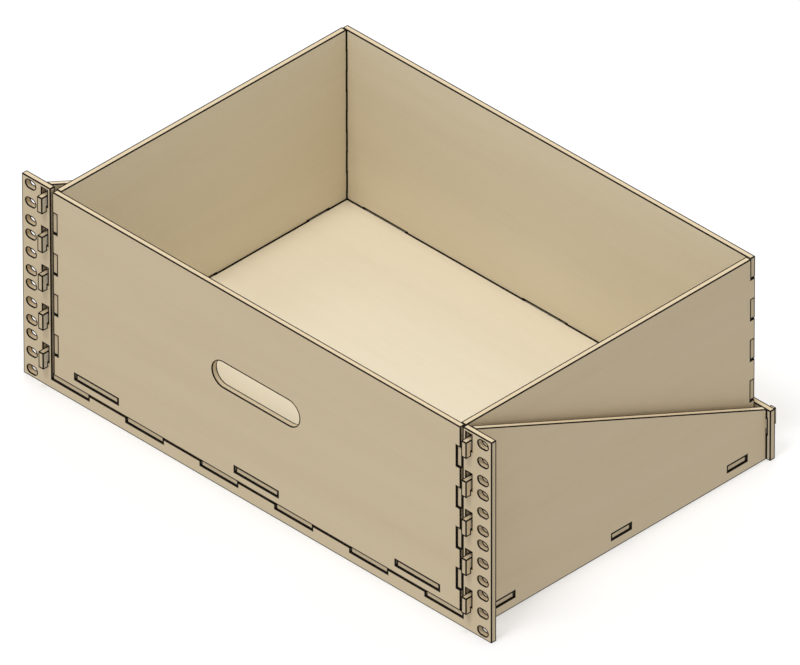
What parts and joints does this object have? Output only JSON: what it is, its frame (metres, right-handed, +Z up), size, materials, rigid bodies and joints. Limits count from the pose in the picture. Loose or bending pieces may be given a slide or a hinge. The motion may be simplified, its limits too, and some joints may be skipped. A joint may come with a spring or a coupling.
{
  "type": "sliding rack drawer",
  "caption": "Rack-mount sliding drawer: a box with a handle slot runs in a hook-and-slot sleeve of sheet panels behind a slotted rack face.",
  "frame": {"origin": "under the middle of the closed drawer, at the level of the sleeve's underside", "axes": "+X to the right along the rack face, +Y to the rear, +Z up; the drawer opens towards -Y"},
  "size_m": [0.4826, 0.32, 0.1774],
  "materials": {
    "plywood": "bare birch plywood, light tan, satin"
  },
  "bodies": {
    "sleeve": {"front_frame": "plywood", "sleeve_side_left": "plywood", "sleeve_side_right": "plywood", "sleeve_rear_panel": "plywood", "sleeve_bottom": "plywood"},
    "drawer": {"drawer_front": "plywood", "drawer_back": "plywood", "drawer_side_left": "plywood", "drawer_side_right": "plywood", "drawer_floor": "plywood"}
  },
  "joints": [
    {"name": "drawer_slide", "type": "slide", "parent": "sleeve", "child": "drawer", "axis": [0, -1, 0], "range_m": [0, 0.28]}
  ]
}
